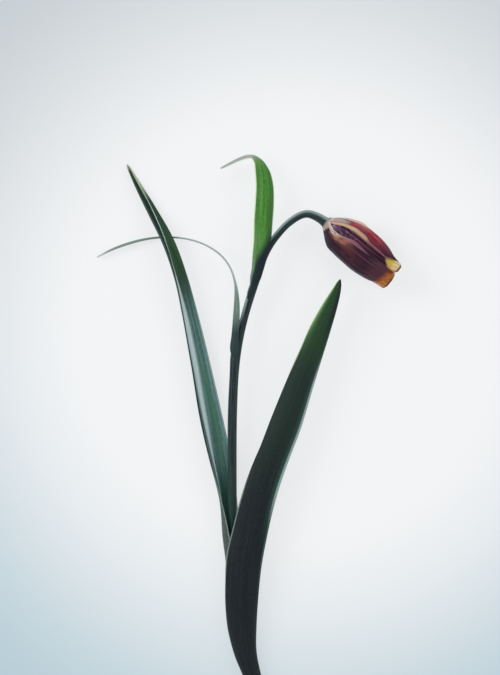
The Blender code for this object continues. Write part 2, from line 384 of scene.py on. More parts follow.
# Where it wraps the stem: y on the stem, half of the angle that it wraps round, the turn of its
# back from straight up, and how far it stands off, in mm.
FRONT_CLASP = [(-85.2, 105, 0, -0.5), (-84.0, 105, 0, 0.25), (-78.5, 100, 0, 0.55)]
# The blade past that, as stations of its keel: x, y, z, its width laid flat, half of the angle
# that it curls through, and the turn of its back from straight up.
FRONT_BLADE = [
    (-0.85, -71.0, 5.5, 10.3, 82, 0),
    (-1.85, -63.4, 6.2, 11.5, 66, 0),
    (-2.05, -55.7, 7.1, 11.85, 54, 0),
    (-1.76, -48.0, 7.9, 11.8, 43, 0),
    (-1.15, -40.3, 8.4, 12.25, 36, 0),
    (0.5, -32.6, 8.5, 11.8, 31, 0),
    (2.3, -25.0, 8.8, 11.45, 29, 0),
    (5.88, -13.4, 9.0, 10.75, 29, 0),
    (8.77, -6.0, 9.05, 10.3, 29, 0),
    (11.79, 1.9, 9.1, 10.5, 30, 0),
    (17.28, 17.3, 9.0, 8.8, 31, 0),
    (20.1, 25.0, 8.85, 7.75, 31, 0),
    (22.95, 32.6, 8.6, 6.85, 31, 0),
    (26.2, 40.3, 8.3, 4.8, 30, 0),
    (28.35, 45.4, 8.15, 2.7, 29, 0),
    (29.5, 48.9, 8.0, 0.9, 28, 0),
]


def unit(vectors):
    return vectors / np.linalg.norm(vectors, axis=-1, keepdims=True)


def hump(value, middle, width):
    return np.exp(-(((value - middle) / width) ** 2))


def clasp(y, curl, turn, slack):
    """A leaf's station where it wraps the stem at this height."""
    rows = smooth(STEM, 200)
    rows = rows[: int(np.argmax(rows[:, 1] > ARCH_TOP))]
    way = unit(np.gradient(rows[:, :3], axis=0))
    middle = [np.interp(y, rows[:, 1], rows[:, i]) for i in range(3)]
    ahead = np.array([np.interp(y, rows[:, 1], way[:, i]) for i in range(3)])
    side = unit(np.cross(ahead, [0.0, 0.0, 1.0]))
    up = np.cross(side, ahead)
    ring = np.interp(y, rows[:, 1], rows[:, 3]) + slack + CLASP_GAP
    keel = middle + ring * (up * math.cos(math.radians(turn)) + side * math.sin(math.radians(turn)))
    return (*keel, 2 * math.radians(curl) * ring, curl, turn)


def flat_strip(name, across, along):
    """A flat strip of this many cells, and where each of its vertices is across and along it."""
    bpy.ops.object.select_all(action="DESELECT")
    bpy.ops.mesh.primitive_grid_add(x_subdivisions=across, y_subdivisions=along, size=1.0)
    strip = bpy.context.object
    strip.name = strip.data.name = name
    u, v, _ = vertices_of(strip).T + 0.5
    return strip, u, v


def give_body(strip, thickness, at_edge, weight, coats):
    """Thickens a laid strip, less at its edges, and rounds it. Its coats are the outer and inner
    material."""
    for material in coats:
        strip.data.materials.append(material)
    body = strip.vertex_groups.new(name="body")
    for i, amount in enumerate(weight):
        body.add([i], float(amount), "REPLACE")
    wall = strip.modifiers.new("wall", "SOLIDIFY")
    wall.thickness = thickness * MM
    wall.offset = 0.0
    wall.vertex_group = body.name
    wall.thickness_vertex_group = at_edge
    wall.material_offset = 1
    bpy.ops.object.modifier_apply(modifier=wall.name)
    strip.vertex_groups.clear()
    apply_smoothing(strip, 1)


def leaf(name, clasps, blade, cells, thickness, keel_height, waviness, coats):
    """A channelled leaf: a strip laid along its keel, curled across, ribbed and thickened."""
    strip, u, v = flat_strip(name, *cells)
    rows = smooth([clasp(*place) for place in clasps] + blade, LAID_ROWS)
    ahead = unit(np.gradient(rows[:, :3], axis=0))
    side = unit(np.cross(ahead, [0.0, 0.0, 1.0]))
    up = np.cross(side, ahead)
    turn = np.radians(rows[:, 5:])
    back = up * np.cos(turn) + side * np.sin(turn)
    at = v * (LAID_ROWS - 1)
    columns = np.hstack([rows, back, ahead]).T
    spread = [np.interp(at, range(LAID_ROWS), column) for column in columns]
    keel, back, ahead = (np.stack(spread[i : i + 3], 1) for i in (0, 6, 9))
    back, curl = unit(back), np.radians(spread[4])
    right = unit(np.cross(ahead, back))
    length = np.linalg.norm(np.diff(rows[:, :3], axis=0), axis=1).sum()
    tip = np.sqrt(1 - np.clip(1 - (1 - v) * length / TIP_LENGTH, 0, 0.97) ** 2)
    s = 2 * u - 1
    angle = curl * s
    radius = (spread[3] + 0.24 * np.minimum(1, spread[3] / 4)) * tip / (2 * curl)
    lift = keel_height * hump(s, 0.0, 0.07) + RIB_HEIGHT * np.cos(s * RIBS * math.pi) * (1 - s**2)
    lift += waviness * s * np.abs(s) * np.sin(v * 23.0 + 1.3 * s) * np.sin(math.pi * v)
    lift = lift * tip
    outward = back * np.cos(angle)[:, None] + right * np.sin(angle)[:, None]
    places = keel + (radius * np.sin(angle))[:, None] * right + lift[:, None] * outward
    places -= (radius * (1 - np.cos(angle)))[:, None] * back
    move_vertices(strip, places * MM)
    give_body(strip, thickness, 0.45, (1 - np.abs(s) ** 5) * tip, coats)
    return strip


def strip_place(pot):
    """Where a point lay on its strip before that was bent: 0 to 1 across and along."""
    return pot.node("ShaderNodeUVMap", uv_map="UVMap")


def patchy(pot, across, along, scale=1.0, detail=3.0):
    """Noise with about this many patches across the strip and along it."""
    return cloudy(stretched(strip_place(pot), (across, along, 1.0)), scale, detail)


def fibres(pot, width, length):
    """What leaf and petal paints start from: the place across and along, long streaks and veins."""
    across, along = part_of(strip_place(pot), "X"), part_of(strip_place(pot), "Y")
    streak = patchy(pot, width, length * 0.04, 1.1)
    fleck = patchy(pot, width, length * 0.35, 2.2, 2.0)
    bent = across + 0.02 * streak
    vein = pot.maths("SINE", bent * (2 * math.pi * round(width * 2.4))) * 0.5 + 0.5
    return across, along, streak, fleck, vein


def band(value, low, full, fading, gone):
    """1 between full and fading, and 0 below low and above gone."""
    return rising(value, low, full) * falling(value, fading, gone)


def blade_coat(pot, colour, dullness, ribs, shine=0.20, depth=0.07, strength=0.6):
    """The coat of a leaf or petal, with its ribs raised by about this depth, in mm."""
    coat(
        pot,
        Base_Color=colour,
        Roughness=dullness,
        Specular_IOR_Level=shine,
        Normal=grained(ribs, depth, strength),
    )


front_back, pot = open_pot("front_leaf_back")
across, along, streak, fleck, vein = fibres(pot, 11.0, 140.0)
lit = rising(along, 0.79, 0.90) * falling(across, 0.05, 0.50 - 0.3 * streak)
glow = rising(along, 0.84, 0.92) * falling(across, 0.04, 0.20)
green = rising(across, 0.74, 0.90) * band(along, 0.34, 0.50, 0.70, 0.86)
margin_reflection = rising(across, 0.895, 0.93) * band(along, 0.40, 0.50, 0.74, 0.83)
pale = falling(across, 0.03, 0.06)
colour = layers(
    over(rising(along, 0.42, 0.68), (0.013, 0.018, 0.023), (0.017, 0.034, 0.027)),
    (rising(along, 0.74, 0.88), (0.024, 0.068, 0.026)),
    (rising(streak, 0.44, 0.62) * 0.16, (0.032, 0.056, 0.044)),
    (rising(fleck, 0.46, 0.66) * 0.12, (0.046, 0.072, 0.060)),
    (rising(vein, 0.6, 1.0) * 0.08, (0.009, 0.014, 0.014)),
    # Painted light: light falls through its left side near the tip, and its right side there is
    # painted in shade.
    (lit * 0.85, (0.066, 0.205, 0.048)),
    (glow * 0.8, (0.320, 0.520, 0.220)),
    (rising(across, 0.62, 0.82) * rising(along, 0.82, 0.93) * 0.85, (0.014, 0.022, 0.026)),
    # The right margin is rolled and waxy, with a lighter green band inside it and a painted
    # reflection along its edge.
    (green * 0.7, (0.040, 0.105, 0.085)),
    (rising(across, 0.92, 0.95) * rising(along, 0.18, 0.36) * 0.45, (0.130, 0.230, 0.200)),
    (margin_reflection * 0.85, (0.420, 0.540, 0.520)),
    # The left one is pale at two places.
    (pale * band(along, 0.27, 0.33, 0.44, 0.54) * 0.7, (0.300, 0.400, 0.340)),
    (pale * rising(along, 0.74, 0.84) * 0.9, (0.560, 0.720, 0.460)),
)
blade_coat(pot, colour, 0.40 + 0.22 * fleck, vein * 0.7 + streak, shine=0.16, strength=0.4)

front_inside, pot = open_pot("front_leaf_inside")
across, along, streak, fleck, vein = fibres(pot, 11.0, 140.0)
colour = layers(
    over(rising(streak, 0.35, 0.65), (0.059, 0.139, 0.119), (0.125, 0.231, 0.205)),
    (rising(vein, 0.5, 1.0) * 0.3, (0.046, 0.112, 0.079)),
    (rising(along, 0.8, 1.0) * 0.6, (0.099, 0.238, 0.079)),
)
blade_coat(pot, colour, 0.45 + 0.2 * fleck, vein * 0.7 + streak)

leaf_front = leaf(
    "leaf_front", FRONT_CLASP, FRONT_BLADE, (22, 120), 0.5, 0.10, 0.12, (front_back, front_inside)
)
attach(leaf_front, "root")
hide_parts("leaf_front")


# --- The left leaf ----------------------------------------------------------------------------
# A deep channel that grows round the stem from behind and turns its hollow side up, so that the
# wax in the channel catches the light. One margin of its base folds over the stem.

LEFT_CLASP = [
    (-52.0, 120, -125, -0.6),
    (-50.5, 120, -125, 0.35),
    (-41.0, 118, -125, 0.7),
    (-33.0, 94, -116, 1.3),
]
LEFT_BLADE = [
    (-7.75, -22.0, 1.3, 9.1, 84, -143),
    (-9.95, -8.0, 1.3, 9.6, 74, -160),
    (-12.75, 6.0, 1.5, 9.3, 68, -166),
    (-15.95, 22.0, 2.0, 7.8, 70, -162),
    (-19.45, 38.0, 2.9, 6.95, 76, -156),
    (-22.6, 50.0, 3.9, 6.4, 84, -148),
    (-26.5, 60.6, 3.9, 6.2, 88, -142),
    (-31.35, 70.2, 2.5, 5.1, 84, -138),
    (-35.5, 78.3, 1.2, 3.4, 74, -134),
    (-39.1, 86.1, 0.53, 1.0, 50, -130),
]


def near(value, middle, full, gone):
    """1 where the value is within full of the middle, and 0 where it is further off than gone."""
    return falling(abs(value - middle), full, gone)


left_back, pot = open_pot("left_leaf_back")
across, along, streak, fleck, vein = fibres(pot, 9.0, 141.0)
folded = rising(abs(across - 0.5), 0.455, 0.485) * falling(along, 0.25, 0.35)
colour = layers(
    over(rising(along, 0.15, 0.32), (0.062, 0.092, 0.086), (0.030, 0.082, 0.062)),
    (rising(streak, 0.40, 0.62) * 0.45, (0.066, 0.105, 0.090)),
    (rising(fleck, 0.42, 0.62) * falling(along, 0.2, 0.4) * 0.35, (0.190, 0.210, 0.180)),
    (rising(vein, 0.5, 1.0) * 0.2, (0.030, 0.060, 0.048)),
    (folded * 0.7, (0.320, 0.420, 0.360)),
    (rising(along, 0.980, 0.995), (0.430, 0.450, 0.310)),
)
blade_coat(pot, colour, 0.42 + 0.2 * fleck, vein * 0.7 + streak)

left_inside, pot = open_pot("left_leaf_inside")
across, along, streak, fleck, vein = fibres(pot, 9.0, 141.0)
green = near(across, 0.36, 0.03, 0.17) * band(along, 0.26, 0.36, 0.46, 0.60)
deep = falling(along, 0.20, 0.34) * falling(across, 0.55, 0.70)
# The fold in the channel, from low down to the tip, and how broad the painted highlight on the wax
# along it is.
fold = 0.69 - 0.48 * rising(along, 0.67, 0.95)
broad = 0.15 * band(along, 0.22, 0.56, 0.62, 0.76) + 0.032
shine = falling(abs(across - fold) / broad, 0.30, 1.30)
glare = 0.60 + 0.6 * streak + 0.25 * rising(along, 0.45, 0.60)
dark = rising(across - fold, 0.03, 0.10) * band(along, 0.60, 0.74, 0.95, 1.0)
fresh = band(along, 0.70, 0.77, 0.79, 0.86) * falling(across - fold, -0.04, 0.06)
sunny = rising(along, 0.900, 0.955) * falling(across - fold, 0.02, 0.14)
colour = layers(
    over(rising(streak, 0.40, 0.62), (0.066, 0.150, 0.142), (0.160, 0.300, 0.285)),
    (rising(fleck, 0.45, 0.65) * 0.30, (0.250, 0.380, 0.370)),
    (rising(along, 0.60, 0.74), (0.034, 0.085, 0.042)),
    (green * 0.75, (0.058, 0.195, 0.104)),
    (deep, (0.042, 0.150, 0.110)),
    # Painted highlight on the fold's wax: a pale band low down, which narrows to a white line that
    # crosses to the tip.
    (shine * glare, (0.780, 0.960, 0.970)),
    # Past the fold, near the tip, the channel is painted in shade.
    (dark * 0.75, (0.014, 0.030, 0.024)),
    (rising(across, 0.86, 0.93), (0.018, 0.034, 0.036)),
    (falling(across, 0.03, 0.08) * falling(along, 0.60, 0.75) * 0.7, (0.380, 0.540, 0.520)),
    (fresh * 0.5, (0.070, 0.190, 0.070)),
    (rising(streak, 0.47, 0.58) * fresh * 0.5, (0.018, 0.052, 0.030)),
    (sunny * 0.95, (0.680, 0.800, 0.530)),
    (rising(vein, 0.55, 1.0) * 0.18, (0.040, 0.099, 0.082)),
    (rising(along, 0.980, 0.995), (0.430, 0.450, 0.310)),
)
blade_coat(pot, colour, 0.38 + 0.2 * fleck, vein * 0.7 + streak, shine=0.24)

leaf_left = leaf(
    "leaf_left", LEFT_CLASP, LEFT_BLADE, (22, 120), 0.45, 0.12, 0.08, (left_back, left_inside)
)
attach(leaf_left, "root")
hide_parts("leaf_left")


# --- The thin leaf ----------------------------------------------------------------------------
# A grassy leaf, no wider than the stem. It leaves the stem at a small ledge, then bows over to
# the left on its edge and passes under the left leaf.

THIN_CLASP = [(23.9, 30, -20, -0.6), (25.7, 36, -20, 0.15)]
THIN_BLADE = [
    (-4.2, 31.0, 7.7, 2.5, 40, -15),
    (-3.8, 38.4, 7.4, 2.3, 40, -25),
    (-3.9, 44.2, 6.8, 2.1, 40, -55),
    (-4.4, 48.5, 6.2, 1.9, 38, -82),
    (-5.45, 52.0, 5.7, 1.8, 30, -90),
    (-7.85, 55.7, 5.0, 1.8, 24, -90),
    (-12.8, 59.5, 3.8, 1.8, 22, -90),
    (-18.6, 61.7, 2.4, 1.7, 24, -90),
    (-24.9, 62.5, 1.25, 1.6, 30, -92),
    (-31.3, 62.1, 1.2, 1.6, 35, -105),
    (-37.6, 60.65, 1.3, 1.5, 35, -118),
    (-43.6, 58.55, 1.3, 1.2, 34, -120),
    (-48.8, 56.0, 1.2, 0.8, 30, -120),
]

thin_coats = []
for name, base, blade_colour in (
    ("thin_leaf_back", (0.030, 0.060, 0.064), (0.198, 0.284, 0.235)),
    ("thin_leaf_inside", (0.059, 0.132, 0.106), (0.218, 0.304, 0.257)),
):
    thin_skin, pot = open_pot(name)
    across, along, streak, fleck, vein = fibres(pot, 2.4, 95.0)
    colour = layers(
        over(rising(along, 0.09, 0.21), base, blade_colour),
        (rising(streak, 0.38, 0.62) * rising(along, 0.1, 0.2) * 0.5, (0.112, 0.185, 0.145)),
        (band(along, 0.24, 0.36, 0.60, 0.70) * 0.9, (0.500, 0.550, 0.540)),
        (rising(along, 0.88, 1.0) * 0.8, (0.480, 0.480, 0.450)),
        (falling(across, 0.0, 0.12) * 0.5, (0.475, 0.554, 0.475)),
        (rising(along, 0.94, 0.99) * 0.9, (0.680, 0.680, 0.660)),
    )
    blade_coat(pot, colour, 0.45 + 0.2 * fleck, vein * 0.5 + streak, depth=0.05)
    thin_coats.append(thin_skin)

leaf_thin = leaf("leaf_thin", THIN_CLASP, THIN_BLADE, (10, 150), 0.42, 0.08, 0.03, thin_coats)
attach(leaf_thin, "root")
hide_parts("leaf_thin")


# --- The upper leaf ---------------------------------------------------------------------------
# The young leaf under the flower, still soft and bright green, with a pale thin margin. Its base
# runs down the stem and darkens, and its drying tip bends over to the left.

UPPER_CLASP = [
    (41.8, 30, -24, -0.75),
    (44.5, 38, -24, -0.12),
    (47.4, 46, -20, 0.1),
    (48.2, 50, -20, 0.4),
]
UPPER_BLADE = [
    (2.92, 52.0, 8.3, 4.15, 50, -8),
    (3.65, 55.8, 8.9, 5.0, 44, -2),
    (4.55, 61.0, 9.4, 5.85, 40, 4),
    (4.95, 67.5, 9.7, 6.4, 37, 4),
    (5.35, 74.0, 9.8, 6.25, 36, 4),
    (5.35, 79.5, 9.7, 5.8, 36, 8),
    (4.8, 83.5, 9.2, 5.2, 36, 22),
    (3.7, 86.6, 8.3, 4.2, 36, 46),
    (1.9, 88.2, 7.3, 3.4, 34, 66),
    (-0.4, 88.3, 6.3, 2.9, 30, 66),
    (-3.2, 87.35, 5.3, 2.4, 26, 64),
    (-6.0, 86.0, 4.4, 1.8, 24, 64),
    (-8.9, 84.5, 3.6, 1.0, 24, 66),
]

upper_coats = []
for name in ("upper_leaf_back", "upper_leaf_inside"):
    upper_skin, pot = open_pot(name)
    across, along, streak, fleck, vein = fibres(pot, 5.6, 62.0)
    soft = falling(across, 0.20, 0.70) * band(along, 0.16, 0.24, 0.32, 0.44)
    foot = falling(along - 0.24 * across, 0.09, 0.22)
    line = near(across, 0.20, 0.03, 0.13) * falling(along, 0.18, 0.27)
    margin = rising(abs(across - 0.5), 0.415, 0.455) * rising(along - 0.2 * across, 0.12, 0.25)
    colour = layers(
        over(rising(streak, 0.42, 0.60), (0.060, 0.210, 0.034), (0.098, 0.330, 0.048)),
        (rising(fleck, 0.42, 0.62) * 0.35, (0.140, 0.400, 0.085)),
        (rising(across, 0.50, 0.95) * 0.60, (0.036, 0.150, 0.028)),
        (rising(vein, 0.55, 1.0) * 0.12, (0.050, 0.180, 0.032)),
        (soft * 0.25, (0.230, 0.400, 0.170)),
        # Painted shadow: the right side of its foot is dark where the stalk behind it shades it
        # through the blade.
        (foot * rising(across, 0.05, 0.45), (0.016, 0.030, 0.036)),
        (foot * falling(across, 0.10, 0.4) * 0.55, (0.099, 0.198, 0.132)),
        # Its foot, below the ledge, is as dark as the stem that it runs down.
        (falling(along, 0.095, 0.115), (0.018, 0.034, 0.036)),
        # A painted highlight on the wax runs up along its left side until the blade is green.
        (line * 0.7, (0.240, 0.340, 0.300)),
        (rising(along, 0.69, 0.79) * 0.40, (0.240, 0.390, 0.200)),
        # The tip has dried to a pale grey.
        (rising(along + 0.04 * streak, 0.77, 0.85) * 0.95, (0.430, 0.445, 0.430)),
        (rising(along, 0.80, 0.88) * rising(streak, 0.45, 0.6) * 0.5, (0.360, 0.360, 0.350)),
        (margin * (1.0 - 0.4 * across), (0.760, 0.880, 0.600)),
    )
    blade_coat(pot, colour, 0.42 + 0.2 * fleck, vein * 0.7 + streak, shine=0.16, depth=0.06)
    upper_coats.append(upper_skin)

leaf_upper = leaf("leaf_upper", UPPER_CLASP, UPPER_BLADE, (20, 110), 0.42, 0.06, 0.05, upper_coats)
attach(leaf_upper, "root")
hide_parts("leaf_upper")


# --- The pistil -------------------------------------------------------------------------------
# The green ovary in the middle of the bell, three-sided and ribbed, with its style, which splits
# into three blunt arms. It stands on the disc that the stem ends in.

PISTIL_SIDES = 18
ARM_SIDES = 10
OVARY = [  # along the bell's axis, radius, and how ribbed it is there
    (2.3, 1.75, 0), (2.6, 2.05, 0), (3.2, 2.1, 0), (3.6, 1.75, 0), (3.9, 1.35, 0.4),
    (4.8, 1.5, 1), (6.5, 1.56, 1), (8.4, 1.46, 1), (9.5, 1.22, 0.8), (10.1, 0.8, 0.4),
    (10.7, 0.55, 0), (12.0, 0.46, 0), (15.0, 0.48, 0), (17.2, 0.56, 0), (17.6, 0.5, 0),
]
STIGMA_ARM = [  # along the bell's axis, from it, radius
    (16.9, 0.10, 0.36), (17.6, 0.26, 0.40), (18.4, 0.55, 0.40), (19.2, 0.92, 0.42),
    (19.8, 1.26, 0.42), (20.2, 1.50, 0.34), (20.4, 1.60, 0.16),
]

pistil_skin, pot = open_pot("pistil_skin")
mottle = cloudy(object_place(pot), 1600.0, 3.0)
height = part_of(straight_place(pot), "Z")
colour = over(rising(mottle, 0.35, 0.65), (0.198, 0.343, 0.079), (0.356, 0.502, 0.132))
coat(
    pot,
    Base_Color=over(rising(height, 8.0, 12.0), colour, (0.660, 0.660, 0.264)),
    Roughness=0.35 + 0.3 * mottle,
    Specular_IOR_Level=0.22,
    Normal=grained(mottle, 0.08, 0.5),
)


def all_round(piece, count):
    """The piece, and copies of it with their own meshes, turned round the bell's axis."""
    pieces = [piece]
    offset = vertices_of(piece) - BELL_BASE * MM
    for i in range(1, count):
        twin = piece.copy()
        twin.data = piece.data.copy()
        bpy.context.scene.collection.objects.link(twin)
        turn = 2 * math.pi * i / count
        turned = (
            offset * math.cos(turn)
            + np.cross(BELL_AXIS, offset) * math.sin(turn)
            + np.outer(offset @ BELL_AXIS, BELL_AXIS) * (1 - math.cos(turn))
        )
        move_vertices(twin, turned + BELL_BASE * MM)
        twin.data.update()
        pieces.append(twin)
    return pieces


def join(pieces, name):
    bpy.ops.object.select_all(action="DESELECT")
    for piece in pieces:
        piece.select_set(True)
    bpy.context.view_layer.objects.active = pieces[0]
    bpy.ops.object.join()
    pieces[0].name = pieces[0].data.name = name
    return pieces[0]


stations = bell_stations([(along, 0.0, radius) for along, radius, _ in OVARY], 0.0)
ovary = draw_out("pistil", stations, PISTIL_SIDES)
middles, theta = rings_of(stations, PISTIL_SIDES)
ribbed = np.repeat([ribs for _, _, ribs in OVARY], PISTIL_SIDES)
bulge = 1 - ribbed * (0.10 * np.cos(3 * theta) ** 8 + 0.07 * np.cos(6 * theta) + 0.02)
move_vertices(ovary, middles + (vertices_of(ovary) - middles) * bulge[:, None])
arm = draw_out("stigma_arm", bell_stations(STIGMA_ARM, 0.0), ARM_SIDES)
pistil = join([ovary, *all_round(arm, 3)], "pistil")
pistil.data.materials.append(pistil_skin)
apply_smoothing(pistil, 2)
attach(pistil, "root")
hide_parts("pistil_and_stamens")


# --- The stamens ------------------------------------------------------------------------------
# Six slim filaments that grow from the disc round the ovary, each with a long anther of two
# halves on its end, dusted with yellow pollen. One of each is made and copied round the bell.

STAMENS = 6
FIRST_STAMEN = math.radians(30)  # the angle round the bell that it faces
FILAMENT_SIDES = 10
FILAMENT = [  # along the bell's axis, from it, radius
    (2.9, 1.2, 0.44), (3.4, 1.32, 0.42), (4.6, 1.62, 0.36), (6.5, 1.95, 0.33),
    (8.5, 2.18, 0.28), (10.2, 2.34, 0.22), (11.0, 2.42, 0.16),
]
ANTHER_SIDES = 16
ANTHER = [  # along the bell's axis, radius
    (10.15, 0.12), (10.3, 0.38), (10.7, 0.66), (11.4, 0.80), (12.6, 0.84), (13.8, 0.78),
    (14.7, 0.62), (15.2, 0.36), (15.38, 0.12),
]

filament_skin, pot = open_pot("filament_skin")
grain = cloudy(stretched(straight_place(pot), (1.0, 1.0, 0.3)), 5.0)
coat(
    pot,
    Base_Color=over(rising(grain, 0.3, 0.7), (0.554, 0.607, 0.343), (0.818, 0.818, 0.554)),
    Roughness=0.4 + 0.2 * grain,
    Normal=grained(grain, 0.04, 0.5),
)

anther_pollen, pot = open_pot("anther_pollen")
place = object_place(pot)
dust = pot.node("ShaderNodeTexVoronoi", {"Vector": place, "Scale": 9000.0})
patch = cloudy(place, 1400.0, 3.0)
coat(
    pot,
    Base_Color=over(rising(patch, 0.35, 0.65), (0.726, 0.528, 0.079), (0.880, 0.818, 0.211)),
    Roughness=0.7 + 0.25 * patch,
    Specular_IOR_Level=0.2,
    Normal=grained(dust, 0.06, 0.8),
)

filament = draw_out("filament", bell_stations(FILAMENT, FIRST_STAMEN), FILAMENT_SIDES)
filament.data.materials.append(filament_skin)
filaments = join(all_round(filament, STAMENS), "filaments")
apply_smoothing(filaments, 1)
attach(filaments, "root")
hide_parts("pistil_and_stamens")

# The anther leans out a little. It is drawn out as a spindle, then pinched along its face and
# back into two halves.
leaning = [(along, 2.45 + 0.08 * (along - 10), radius) for along, radius in ANTHER]
stations = bell_stations(leaning, FIRST_STAMEN)
anther = draw_out("anther", stations, ANTHER_SIDES)
middles, _ = rings_of(stations, ANTHER_SIDES)
offset = vertices_of(anther) - middles
radial = bell_point(0.0, 1.0, FIRST_STAMEN) - BELL_BASE
outward = offset @ radial
share = np.abs(outward / np.linalg.norm(offset, axis=1))
slim = 0.72 + 0.28 * share - 0.34 * share**6
move_vertices(anther, middles + offset * slim[:, None] - 0.25 * outward[:, None] * radial)
anther.data.materials.append(anther_pollen)
anthers = join(all_round(anther, STAMENS), "anthers")
apply_smoothing(anthers, 2)
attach(anthers, "root")
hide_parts("pistil_and_stamens")


# --- The inner tepals -------------------------------------------------------------------------
# Three of the bell's six petals, which stand under the gaps of the outer ones. They are thin and
# firm, dark purple outside with a yellow tip, and yellow-green with faint squares inside.

# Their outline from base to tip, in mm: distance along the bell's axis, distance from the axis,
# and half of the angle that they span.
INNER = [
    (0.85, 1.2, 44),
    (1.05, 1.9, 46),
    (1.6, 2.8, 50),
    (2.7, 3.7, 51),
    (4.6, 4.5, 51),
    (7.25, 5.15, 51),
    (10.05, 5.45, 51),
    (14.45, 5.45, 51),
    (18.2, 5.2, 51),
    (21.0, 4.66, 50),
    (23.3, 3.95, 46),
    (25.2, 3.7, 42),
    (26.5, 3.85, 35),
    (27.1, 4.0, 28),
    (27.35, 4.05, 14),
]
INNER_LOWEST = 1.3  # the petals are pressed flat at this height above the table, in mm
TEPAL_CELLS = (30, 66)  # across and along


def tepal(name, outline, facing, lowest, coats, swing, reach, stands, left=None, right=None):
    """A petal of the bell. stands is how far out it stands beyond its outline, as (distance along
    the axis, mm). left and right are its margins where they part from the outline's, as (distance
    along the axis, half angle, width of the margin's raised roll)."""
    strip, u, v = flat_strip(name, *TEPAL_CELLS)
    rows = smooth(outline, LAID_ROWS)
    at = v * (LAID_ROWS - 1)
    along, out, span = (np.interp(at, range(LAID_ROWS), column) for column in rows.T)
    along = along * reach
    out = np.interp(along, rows[:, 0], rows[:, 1]) + 0.1 + np.interp(along, *smooth(stands, 200).T)
    s = 2 * u - 1
    closing = np.minimum(1, 1.25 * span / rows[LAID_ROWS // 2, 2])
    roll = np.full(len(s), 0.35)
    for margin, side in ((left, s < 0), (right, s > 0)):
        if margin is not None:
            at, own, rolled = np.array(margin, float).T
            span = np.where(side, np.interp(along, at, own) * closing, span)
            roll = np.where(side, np.interp(along, at, rolled), roll)
    inward = (1 - np.abs(s)) * np.radians(span) * out
    # In turn: the midrib, two sets of wrinkles, the margin's roll, the groove inside it, the edge
    # that turns in, and the crimped tip, which is the only one that doesn't fade at base and tip.
    lift = 0.16 * hump(s, 0.0, 0.12) - 0.10 * np.cos(math.pi * s)
    lift += 0.035 * np.sin(10 * s + 3.0 * np.sin(2.4 * v + facing) + facing)
    lift += 0.025 * np.sin(23 * s - 4.0 * np.sin(1.7 * v - facing)) * (1 - s**2)
    lift += (0.10 + 0.22 * roll) * hump(inward, roll / 2, 0.45 * roll)
    lift -= 0.16 * hump(inward, 1.25 * roll, 0.30 * roll)
    lift -= 0.35 * np.abs(s) ** 9
    lift *= np.sin(math.pi * v) ** 0.5
    lift += 0.14 * np.sin(s * 3.2 * math.pi + 0.7) * np.clip((v - 0.88) / 0.12, 0, 1)
    turned = swing * np.clip((along - 14.0) / 12.0, 0.0, 1.0) ** 1.5
    places = bell_point(along, out + lift, np.radians(facing + turned + span * s))
    places[:, 2] = np.maximum(places[:, 2], lowest)
    move_vertices(strip, places * MM)
    strip.data.flip_normals()
    weight = (1 - np.abs(s) ** 6) * (1 - np.clip((v - 0.9) * 10, 0, 1) ** 3)
    give_body(strip, 0.45, 0.5, weight, coats)
    return strip


tepal_inside, pot = open_pot("tepal_inside")
across, along, streak, fleck, vein = fibres(pot, 9.0, 29.0)
cells = {"Vector": stretched(strip_place(pot), (9.0, 24.0, 1.0)), "Scale": 1.0}
squares = pot.node("ShaderNodeTexChecker", cells, out=1)
nectary = near(across, 0.5, 0.03, 0.10) * band(along, 0.08, 0.15, 0.45, 0.6)
squared = squares * rising(fleck, 0.38, 0.62) * rising(along, 0.2, 0.4)
colour = layers(
    over(rising(streak, 0.35, 0.65), (0.475, 0.502, 0.106), (0.660, 0.634, 0.185)),
    (squared * 0.55, (0.211, 0.079, 0.053)),
    (nectary, (0.158, 0.343, 0.040)),
    (rising(along, 0.84, 0.96) * 0.7, (0.792, 0.528, 0.079)),
)
blade_coat(pot, colour, 0.34 + 0.2 * fleck, vein * 0.6 + streak, shine=0.24, depth=0.05)

